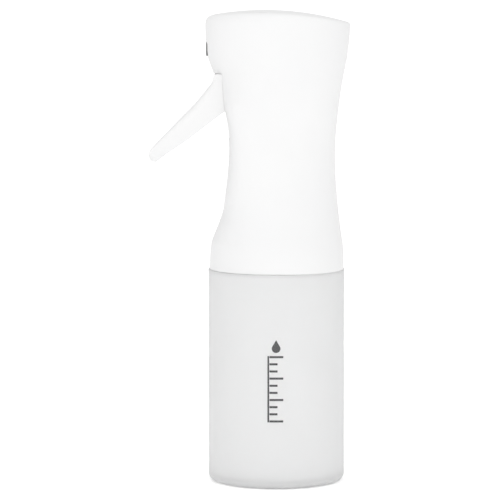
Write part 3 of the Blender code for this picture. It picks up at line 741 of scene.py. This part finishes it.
def make_trigger():
    boss = arc(PIVOT, 2.9, -20, 95, 16)
    outline = smooth_path([*TRIGGER_FRONT[1:], *TRIGGER_TIP, *TRIGGER_REAR], 6)
    outline = [TRIGGER_FRONT[0], *outline, *smooth_path([TRIGGER_REAR[-1], *TRIGGER_ROOT], 4)[1:], *boss]
    fingers = smooth_path([*TRIGGER_FRONT[3:], *TRIGGER_TIP], 8)
    trigger = slab(outline, 0.0, EDGE_R, fingers)
    front = smooth_path(TRIGGER_FRONT[4:-1], 6)
    front = [(x + PLATE_THICK * 0.75, z - PLATE_THICK * 0.66) for x, z in front]
    hollow = [
        (-19.3, 141.8), (-20.6, 140.8), *front, (-38.6, 117.4), (-37.6, 114.0), (-18.0, 122.0),
        (-5.0, 122.0), (-5.0, 150.0), (-17.2, 150.0), (-17.2, 141.8),
    ]
    hole = rod_cutter(PIVOT_PIN_R + 0.2, (PIVOT[0], -10, PIVOT[1]), (PIVOT[0], 10, PIVOT[1]))
    combine(trigger, "DIFFERENCE", slab(hollow, WEB_THICK), hole, slot_cutter())
    dress(trigger, "white", "trigger", "trigger")


# ---------------------------------------------------------------- nozzle and engine


def make_nozzle():
    """The dark cup: a flat face with a conical spray hole and a rounded rim."""
    cup = [(0.35, 23.5), (0.35, 24.15), (0.95, 24.7), *arc((NOZZLE_R - 0.1, 24.6), 0.1, 90, 0, 4)]
    cup += [(NOZZLE_R, 19.8), (1.6, 19.8), (1.6, 23.3)]
    nozzle = finish_mesh(turn_forward(lathe(cup, 72), NOZZLE_Z), "nozzle_face")
    dress(nozzle, "dark", "head", "nozzle_cup")


SPRINGS = (
    # Name, CAD node it stands for, joint that squeezes it, bar radius, coil radius, turns, the share of its
    # length that is left at the joint's limit, and its fixed end and its free end, each as (x, z).
    ("return_spring", "pump_return_spring", "plunger_slide", 0.35, 3.1, 7.5, 0.62, (2.35, 130.0),
     (-10.95, 130.0)),
    ("storage_spring", "buffer_spring", "buffer_slide", 0.6, 4.3, 8.0, 0.565, (11.2, 106.65), (11.2, 134.6)),
    ("shutoff_spring", "nozzle_valve_spring", "nozzle_valve_slide", 0.22, 1.8, 3.5, 0.7, (-18.32, NOZZLE_Z),
     (-16.22, NOZZLE_Z)),
)


def make_spring(name, stands_for, joint, bar, coil, turns, keep, fixed, free):
    """A compression spring with its end turns closed, coiled from its fixed end to its free end."""
    fixed, free = (Vector((x, 0, z)) for x, z in (fixed, free))
    length = (free - fixed).length
    closed = 0.9
    closed_pitch = bar * 2.05
    pitch = (length - 2 * bar - 2 * closed * closed_pitch) / (turns - 2 * closed)
    steps, sides = round(turns * 28), 10
    bm = bmesh.new()
    rows = []
    for k in range(steps + 1):
        turn = turns * k / steps
        low, high = min(turn, closed), max(turn - (turns - closed), 0)
        height = bar + (low + high) * closed_pitch + (turn - low - high) * pitch
        angle = 2 * math.pi * turn
        out = Vector((math.cos(angle), math.sin(angle), 0))
        around = [2 * math.pi * j / sides for j in range(sides)]
        centre = out * coil + Vector((0, 0, height))
        ring = [centre + out * bar * math.cos(a) + Vector((0, 0, bar * math.sin(a))) for a in around]
        rows.append(ring_of(bm, ring))
    skin(bm, rows)
    turn = (free - fixed).to_track_quat("Z", "Y").to_matrix().to_4x4()
    bmesh.ops.transform(bm, matrix=Matrix.Translation(fixed) @ turn, verts=bm.verts)
    spring = finish_mesh(bm, name)
    dress(spring, "steel", "head", stands_for)
    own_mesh(spring)


CAD_FINISH = {
    "white": ("pump_piston", "buffer_piston"),
    "natural": ("screw_collar", "pump_housing", "inlet_valve_seat", "transfer_valve_plug", "buffer_end_cap",
                "swirl_insert"),
    "rubber": ("neck_gasket", "pump_piston_seal", "buffer_piston_seal", "nozzle_valve"),
    "steel": ("inlet_ball", "transfer_ball", "crosshead_pin", "trigger_pivot_pin"),
    "tube": ("dip_tube",),
}


def dress_cad_nodes():
    for material, names in CAD_FINISH.items():
        for name in names:
            slots = NODES[name].material_slots
            if not len(slots):
                NODES[name].data.materials.append(MATERIALS[material])
            for each in slots:
                each.material = MATERIALS[material]


def main():
    place_camera()
    light_scene()
    add_floor()
    make_shroud()
    make_bottle()
    make_print()
    make_trigger()
    make_nozzle()
    for spring in SPRINGS:
        make_spring(*spring)
    dress_cad_nodes()


MATERIALS = make_materials()
main()
